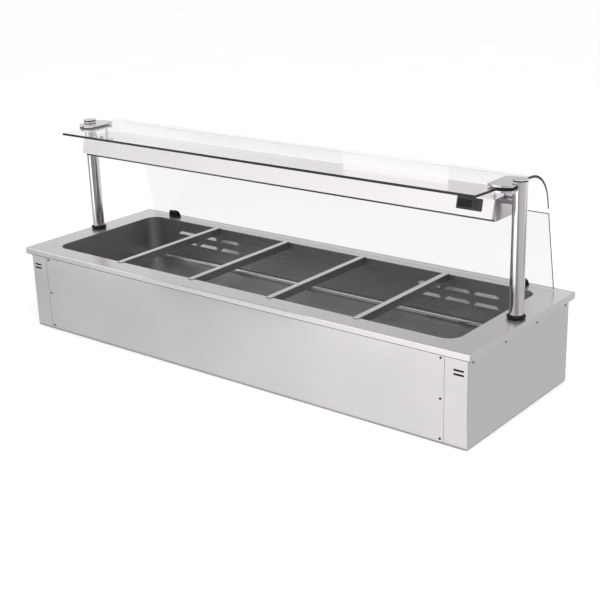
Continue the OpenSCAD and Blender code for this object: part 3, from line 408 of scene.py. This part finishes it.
def countertop_face(face):
    """Darker steel on the fold between top and lips (painted shade), or lighter steel on the front and
    rear lips and on the end lips (painted light).
    """
    leans = face.normal.z < STRAIGHT and (abs(face.normal.x) > SLANT or face.normal.z > SLIGHT)
    if leans and face.center.z > DECK_Z - FOLD_H:
        return "fold_painted_shade"
    if abs(face.normal.z) > STRAIGHT or face.center.z > DECK_Z - EDGE_H:
        return None
    return "lip_painted_light_and_shade" if abs(face.normal.y) > MOSTLY else "lip_end_painted_light"


def well_face(face):
    """Smoother steel as dark as the well's on the cove round the floor, or a lighter copy (painted light)
    on the louvres that stand out of the rear wall.
    """
    if face.center.z < WELL_FLOOR_Z + COVE_H and face.normal.z < COVE_SLOPE:
        return "cove_steel"
    stands_out = LOUVRE_OUT[0] < WELL_REAR_Y - face.center.y < LOUVRE_OUT[1]
    in_group = face.center.z > DECK_Z - LOUVRE_DROP and WELL_END_X - abs(face.center.x) > LOUVRE_IN
    return "louvre_painted_light" if stands_out and in_group else None


def box_cover_face(face):
    """The light box's top is polished, and painted lighter than its sides: painted light."""
    return "box_top_steel" if face.normal.z > STRAIGHT else None


def bar_face(face):
    """A divider bar's sides are painted darker than its top: painted shade."""
    return None if face.normal.z > STRAIGHT else "bar_side_painted_shade"


for node_name, node in nodes.items():
    slot_name = SLOT_OF[node_name]
    smooth(node)
    if slot_name == "shelf_glass":
        continue
    dress(node, MATERIALS[slot_name])
    if node_name in END_NODES:
        paint(node, end_panel_face, ("end_steel", "inner_painted_shade"))
    if node_name == "countertop":
        paint(node, countertop_face, ("lip_painted_light_and_shade", "lip_end_painted_light", "fold_painted_shade"))
    if node_name == "well_tub":
        paint(node, well_face, ("louvre_painted_light", "cove_steel"))
    if node_name == "light_box_cover":
        paint(node, box_cover_face, ("box_top_steel",))
    if node_name in BAR_NODES:
        paint(node, bar_face, ("bar_side_painted_shade",))
    if node_name in OWN_MATERIAL:
        dress(node, MATERIALS[OWN_MATERIAL[node_name]])


# Glass: broad faces are clear, and the ground edges are painted dark (painted shade).

UPRIGHT_Y = 0.1
END_NORMAL = 0.8


def is_edge(polygon, low, high):
    """Whether a face of a bent sheet that runs along X is one of its narrow edges."""
    if abs(polygon.normal.x) > END_NORMAL:
        return True
    at_front = polygon.center.y < low.y + NEAR and polygon.normal.y < -STRAIGHT
    at_bottom = polygon.center.z < low.z + EDGE_H and polygon.normal.z < -STRAIGHT
    at_top = polygon.center.z > high.z - EDGE_H and polygon.normal.z > STRAIGHT
    upright = high.y - low.y < UPRIGHT_Y
    return at_front or at_bottom or (at_top and upright)


for pane_name, glass_name in PANES.items():
    pane = nodes[pane_name]
    dress(pane, MATERIALS[glass_name])
    pane.data.materials.append(MATERIALS["glass_edge"])
    pane_low, pane_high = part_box(pane_name)
    for face in pane.data.polygons:
        face.material_index = 1 if is_edge(face, pane_low, pane_high) else 0


# Moulded pieces in place of the plain ones of the frame: rubber boots, glass feet and star knobs.


def finished(name, work, material, body, replaced):
    """Turns a bmesh into a smooth piece that rides on a body and stands in for a node."""
    bmesh.ops.recalc_face_normals(work, faces=work.faces)
    mesh = bpy.data.meshes.new(name)
    work.to_mesh(mesh)
    work.free()
    piece = bpy.data.objects.new(name, mesh)
    bpy.context.scene.collection.objects.link(piece)
    mesh.materials.append(MATERIALS[material])
    smooth(piece, MOULDED_ANGLE)
    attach(piece, body)
    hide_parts(replaced)


def skin(work, rings, closed):
    """Faces between rings of as many points each. closed also joins the last ring to the first."""
    rows = [[work.verts.new(point) for point in ring] for ring in rings]
    pairs = list(zip(rows, rows[1:]))
    if closed:
        pairs.append((rows[-1], rows[0]))
    for one, other in pairs:
        for i in range(len(one)):
            j = (i + 1) % len(one)
            work.faces.new((one[i], one[j], other[j], other[i]))
    if not closed:
        work.faces.new(rows[0])
        work.faces.new(list(reversed(rows[-1])))


FIT_GAP = 0.0002

BOOT_H = 0.014
BOOT_STEPS = 72
BOOT_FOOT_IN = 0.004
BOOT_TOP_IN = 0.0045
BOOT_EDGE = 0.0008


def boot(name):
    """Low rubber ring round the foot of a post, with a ridge at half its height."""
    low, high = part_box(name)
    centre = (low + high)/2
    post_low, post_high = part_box(name.replace("boot_", ""))
    tube_r = (post_high.x - post_low.x)/2 + FIT_GAP
    r = (high.x - low.x)/2
    profile = [
        (tube_r, 0),
        (r - BOOT_FOOT_IN, 0),
        (r - BOOT_EDGE/2, BOOT_H/2 - BOOT_EDGE),
        (r, BOOT_H/2),
        (r - BOOT_EDGE/2, BOOT_H/2 + BOOT_EDGE),
        (r - BOOT_TOP_IN, BOOT_H - BOOT_EDGE),
        (r - BOOT_TOP_IN - BOOT_EDGE, BOOT_H),
        (tube_r, BOOT_H),
    ]
    work = bmesh.new()
    angles = [2*math.pi*i/BOOT_STEPS for i in range(BOOT_STEPS)]
    rings = []
    for a, h in profile:
        rings.append([(centre.x + a*math.cos(t), centre.y + a*math.sin(t), low.z + h) for t in angles])
    skin(work, rings, True)
    finished("moulded_" + name, work, "rubber", ROOT, name)


PANE_T = 0.006
LEAN = math.radians(12)
FOOT_H = 0.024
FOOT_FRONT = 0.012
FOOT_REAR = 0.010
FOOT_BASE_H = 0.0035
FOOT_ROUND = 0.0025
FOOT_BEVEL = 0.3
FOOT_FULLNESS = 0.75
FOOT_STEPS = 28
KNOB_R = 0.0095
KNOB_T = 0.009
KNOB_GAP = 0.001
KNOB_LOBES = 6
KNOB_LOBE_DEPTH = 0.10
KNOB_STEPS = 96
# Each ring of a knob: its share of the radius, of the thickness, and of the lobes' depth.
KNOB_PROFILE = (
    (0.0005, 1.0, 0),
    (0.62, 1.0, 0.2),
    (0.86, 0.88, 0.8),
    (1.0, 0.6, 1),
    (1.0, 0.3, 1),
    (0.9, 0, 0.8),
    (0.0005, 0, 0),
)


def dome(half_w, height, inset):
    """Outline of a glass foot: a half round with a broad top, drawn in by inset."""
    points = []
    for i in range(FOOT_STEPS + 1):
        t = math.pi*i/FOOT_STEPS
        c = math.cos(t)
        across = math.copysign(abs(c)**FOOT_FULLNESS, c)
        up = math.sin(t)**FOOT_FULLNESS
        points.append((across*(half_w - inset), up*(height - inset)))
    return points


def glass_foot(name, body):
    """Two rounded cheeks, before and behind the leaning glass, on a thin base."""
    low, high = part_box(name)
    pane_low, pane_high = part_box("lower_glass")
    x = (low.x + high.x)/2
    base_z = low.z
    half_w = (high.x - low.x)/2
    pane_y = pane_high.y - PANE_T/2*math.cos(LEAN)
    half_gap = PANE_T/2/math.cos(LEAN) + FIT_GAP
    work = bmesh.new()
    for near, far in ((-half_gap, -FOOT_FRONT), (half_gap, FOOT_REAR)):
        outer = math.copysign(FOOT_ROUND, far)
        bevel = (far - FOOT_BEVEL*outer, FOOT_BEVEL*FOOT_ROUND)
        rings = []
        for depth, inset in ((near, 0), (far - outer, 0), bevel, (far, FOOT_ROUND)):
            ring = []
            for a, h in dome(half_w, FOOT_H, inset):
                ring.append((x + a, pane_y + depth - (h + base_z - pane_low.z)*math.tan(LEAN), base_z + h))
            rings.append(ring)
        skin(work, rings, False)
    front = [(x - half_w, -FOOT_FRONT), (x + half_w, -FOOT_FRONT)]
    rear = [(x + half_w, FOOT_REAR), (x - half_w, FOOT_REAR)]
    rings = [[(a, pane_y + d, base_z + h) for a, d in front + rear] for h in (0, FOOT_BASE_H)]
    skin(work, rings, False)
    finished("moulded_" + name, work, "rubber", body, name)


def star_knob(name):
    """Knob with rounded lobes on its clamping screw."""
    low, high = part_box(name)
    centre = (low + high)/2
    pane_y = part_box("lower_glass")[1].y - PANE_T/2*math.cos(LEAN)
    rear_y = pane_y - FOOT_FRONT - (centre.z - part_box("lower_glass")[0].z)*math.tan(LEAN) - KNOB_GAP
    rings = []
    for wide, depth, lobed in KNOB_PROFILE:
        ring = []
        for i in range(KNOB_STEPS):
            t = 2*math.pi*i/KNOB_STEPS
            r = KNOB_R*wide*(1 + KNOB_LOBE_DEPTH*lobed*(math.cos(KNOB_LOBES*t) - 1))
            ring.append((centre.x + r*math.cos(t), rear_y - KNOB_T*depth, centre.z + r*math.sin(t)))
        rings.append(ring)
    work = bmesh.new()
    skin(work, rings, False)
    finished("moulded_" + name, work, "rubber", name, name)


for side in ("left", "right"):
    boot("post_boot_" + side)
    glass_foot("glass_foot_" + side, ROOT)
    star_knob("glass_knob_" + side)


# Stage: a pale floor, soft light and the camera of the photo.


def plane(name, size, place, turn, material):
    """A flat rectangle, as a mesh."""
    mesh = bpy.data.meshes.new(name)
    work = bmesh.new()
    bmesh.ops.create_grid(work, x_segments=1, y_segments=1, size=0.5)
    bmesh.ops.scale(work, vec=(size[0], size[1], 1), verts=work.verts)
    work.to_mesh(mesh)
    work.free()
    piece = bpy.data.objects.new(name, mesh)
    bpy.context.scene.collection.objects.link(piece)
    piece.location = place
    piece.rotation_euler = Euler([math.radians(a) for a in turn])
    mesh.materials.append(material)
    return piece


PAPER_GRAIN = (2, 2, 2)
PAPER_DARK = (0.97, 0.97, 0.97)
PAPER_LIGHT = (0.985, 0.985, 0.985)
PAPER_ROUGH = 0.9
PAPER_GLOSS = 0.1


def floor_material():
    """Matt paper, almost white."""
    material, tree, output = new_material("floor_paper")
    shader = tree.nodes.new("ShaderNodeBsdfPrincipled")
    texture = object_noise(tree, PAPER_GRAIN, 3.0)
    colour = tinted(tree, spread(tree, texture, 0, 1), PAPER_DARK, PAPER_LIGHT)
    tree.links.new(colour, shader.inputs["Base Color"])
    shader.inputs["Roughness"].default_value = PAPER_ROUGH
    shader.inputs["Specular IOR Level"].default_value = PAPER_GLOSS
    tree.links.new(shader.outputs["BSDF"], output.inputs["Surface"])
    return material


def soft_light(name, size, place, aim, power):
    """A rectangular area light at place that points at aim."""
    data = bpy.data.lights.new(name, "AREA")
    data.shape = "RECTANGLE"
    data.size, data.size_y = size
    data.energy = power
    lamp = bpy.data.objects.new(name, data)
    bpy.context.scene.collection.objects.link(lamp)
    lamp.location = place
    lamp.rotation_euler = (Vector(aim) - Vector(place)).to_track_quat("-Z", "Y").to_euler()


RAMP_TOP = 2.0
CARD_LIFT = 0.001


def reflector(name, low, high, shades):
    """A card that only mirrors see, flat on the floor or upright along X. shades run along X."""
    material, tree, output = new_material(name)
    glow = tree.nodes.new("ShaderNodeEmission")
    place = tree.nodes.new("ShaderNodeTexCoord")
    split = tree.nodes.new("ShaderNodeSeparateXYZ")
    ramp = tree.nodes.new("ShaderNodeValToRGB")
    strong = tree.nodes.new("ShaderNodeMath")
    strong.operation = "MULTIPLY"
    strong.inputs[1].default_value = RAMP_TOP
    tree.links.new(place.outputs["Generated"], split.inputs["Vector"])
    tree.links.new(split.outputs["X"], ramp.inputs["Fac"])
    tree.links.new(ramp.outputs["Color"], strong.inputs[0])
    tree.links.new(strong.outputs[0], glow.inputs["Strength"])
    stops = ramp.color_ramp.elements
    while len(stops) < len(shades):
        stops.new(0.5)
    for stop, (where, shade) in zip(stops, shades):
        stop.position = where
        level = shade/RAMP_TOP
        stop.color = (level, level, level, 1)
    tree.links.new(glow.outputs["Emission"], output.inputs["Surface"])
    upright = high[1] == low[1]
    size = (high[0] - low[0], high[2] - low[2] if upright else high[1] - low[1])
    middle = [(a + b)/2 for a, b in zip(low, high)]
    middle[2] += CARD_LIFT
    card = plane(name, size, middle, (90 if upright else 0, 0, 0), material)
    card.visible_camera = False
    card.visible_diffuse = False
    card.visible_shadow = False
    card.visible_transmission = False


world = bpy.data.worlds.new("studio")
world.use_nodes = True
sky = world.node_tree.nodes["Background"]
sky.inputs["Color"].default_value = (1.0, 1.0, 1.0, 1)
sky.inputs["Strength"].default_value = 1.0
bpy.context.scene.world = world

FLOOR_SIZE = 60
FLOOR_DROP = 0.001
plane("studio_floor", (FLOOR_SIZE, FLOOR_SIZE), (0, 0, -FLOOR_DROP), (0, 0, 0), floor_material())

# Cards on the floor, seen in the front and the right end.
FLOOR_LEFT = -4.5
FLOOR_FRONT = -3.5
FLOOR_RIGHT = 4.5
FLOOR_SPLIT_X = 1.03
FLOOR_SPLIT_Y = -0.34
SIDE_RIGHT = 1.6
SIDE_REAR = 0.9
FOOT_LINE = (FRONT_Y - 0.007, FRONT_Y - 0.001)

reflector("front_card", (FLOOR_LEFT, FLOOR_FRONT, 0), (FLOOR_SPLIT_X, FOOT_LINE[0], 0),
          ((0.54, 0.55), (0.61, 0.68), (0.75, 0.80), (1.0, 1.09)))
reflector("foot_card", (-2.0, FOOT_LINE[0], 0), (END_X, FOOT_LINE[1], 0), ((0.0, 0.3), (1.0, 0.3)))
reflector("side_card", (END_X + 0.002, FLOOR_SPLIT_Y, 0), (SIDE_RIGHT, 1.2, 0),
          ((0.0, 0.64), (1.0, 0.62)))
reflector("right_card", (SIDE_RIGHT, FLOOR_SPLIT_Y, 0), (FLOOR_RIGHT, SIDE_REAR, 0),
          ((0.0, 0.76), (1.0, 0.76)))
reflector("back_floor_card", (SIDE_RIGHT, SIDE_REAR, 0), (2.6, 2.0, 0), ((0.0, 0.45), (1.0, 0.40)))
reflector("grey_card", (FLOOR_SPLIT_X, FLOOR_FRONT, 0), (FLOOR_RIGHT, FLOOR_SPLIT_Y, 0),
          ((0.0, 0.36), (0.18, 0.42), (0.24, 0.72), (1.0, 0.74)))

# Upright cards near the front, whose bands run down the posts.
DARK_BAND = 0.30
BRIGHT_BAND = 1.9
GREY_BAND = 0.36
POST_CARD_Y = -0.98

reflector("post_shade", (-0.58, -0.6, 0.2), (0.17, -0.6, 0.58), ((0.0, DARK_BAND), (1.0, DARK_BAND)))
reflector("post_card", (-2.6, POST_CARD_Y, 0.07), (FLOOR_SPLIT_X, POST_CARD_Y, 0.52),
          ((0.0, DARK_BAND), (0.24, DARK_BAND), (0.255, BRIGHT_BAND), (0.45, BRIGHT_BAND),
           (0.47, DARK_BAND), (0.60, DARK_BAND), (0.64, BRIGHT_BAND), (0.945, BRIGHT_BAND),
           (0.965, GREY_BAND), (1.0, GREY_BAND)))

# Tall cards before the unit, seen in the light box and the well.
TENT_Y = -3.0
TENT_LOW = 0.01
TENT_HIGH = 2.5
TENT_SPLIT_X = -1.9

reflector("left_tent", (-5.5, TENT_Y, TENT_LOW), (TENT_SPLIT_X, TENT_Y, TENT_HIGH),
          ((0.0, 0.76), (0.35, 0.83), (0.64, 1.0), (1.0, 1.2)))
reflector("middle_tent", (TENT_SPLIT_X, TENT_Y, TENT_LOW), (0.6, TENT_Y, TENT_HIGH),
          ((0.0, 1.2), (0.3, 1.22), (1.0, 1.25)))
reflector("right_tent", (1.1, TENT_Y, TENT_LOW), (4.6, TENT_Y, TENT_HIGH), ((0.0, 0.55), (1.0, 0.42)))

# Cards behind the unit, seen in the counter top and on top of the light box.
BACK_Y = 3.0
BOX_CARD_Y = 2.98
BOX_CARD_LOW = 1.49
BOX_CARD_HIGH = 1.61
BOX_SPLIT_X = -1.14

reflector("back_card", (-5.5, BACK_Y, 1.45), (-0.6, BACK_Y, 2.6),
          ((0.0, 0.74), (0.15, 0.80), (0.36, 1.0), (0.77, 0.83), (0.90, 0.66), (1.0, 0.60)))
reflector("box_top_card", (-1.92, BOX_CARD_Y, BOX_CARD_LOW), (BOX_SPLIT_X, BOX_CARD_Y, BOX_CARD_HIGH),
          ((0.0, 1.12), (1.0, 1.12)))
reflector("box_end_card", (BOX_SPLIT_X, BOX_CARD_Y, BOX_CARD_LOW), (-0.70, BOX_CARD_Y, BOX_CARD_HIGH),
          ((0.0, 0.78), (1.0, 0.78)))

LIGHT_AIM = (0, 0, 0.3)
soft_light("key", (3.0, 2.0), (2.5, -2.0, 3.5), LIGHT_AIM, 60)
soft_light("fill", (3.0, 2.0), (-3.0, -3.0, 2.5), LIGHT_AIM, 20)

CAMERA_PLACE = (2.49193, -2.98857, 1.2503 + DECK_Z)
CAMERA_YAW = -38.80
CAMERA_PITCH = -19.41
CAMERA_ROLL = 1.77
FOCAL_PX = 1187.17
PHOTO_PX = 600
SENSOR_MM = 36
CLIP_END = 200


def look(yaw, pitch, roll):
    """Rotation of a camera. yaw turns it from +Y towards +X, and roll turns its picture."""
    y, p, r = (math.radians(a) for a in (yaw, pitch, roll))
    forward = Vector((math.sin(y)*math.cos(p), math.cos(y)*math.cos(p), math.sin(p)))
    right = Vector((math.cos(y), -math.sin(y), 0))
    down = forward.cross(right)
    turned_right = math.cos(r)*right + math.sin(r)*down
    turned_down = math.cos(r)*down - math.sin(r)*right
    return Matrix((turned_right, -turned_down, -forward)).transposed()


camera_data = bpy.data.cameras.new("photo_camera")
camera = bpy.data.objects.new("photo_camera", camera_data)
bpy.context.scene.collection.objects.link(camera)
camera_data.sensor_width = SENSOR_MM
camera_data.lens = SENSOR_MM*FOCAL_PX/PHOTO_PX
camera_data.clip_end = CLIP_END
camera_turn = look(CAMERA_YAW, CAMERA_PITCH, CAMERA_ROLL)
camera.matrix_world = Matrix.Translation(CAMERA_PLACE) @ camera_turn.to_4x4()
bpy.context.scene.camera = camera
bpy.context.scene.view_settings.view_transform = "Standard"
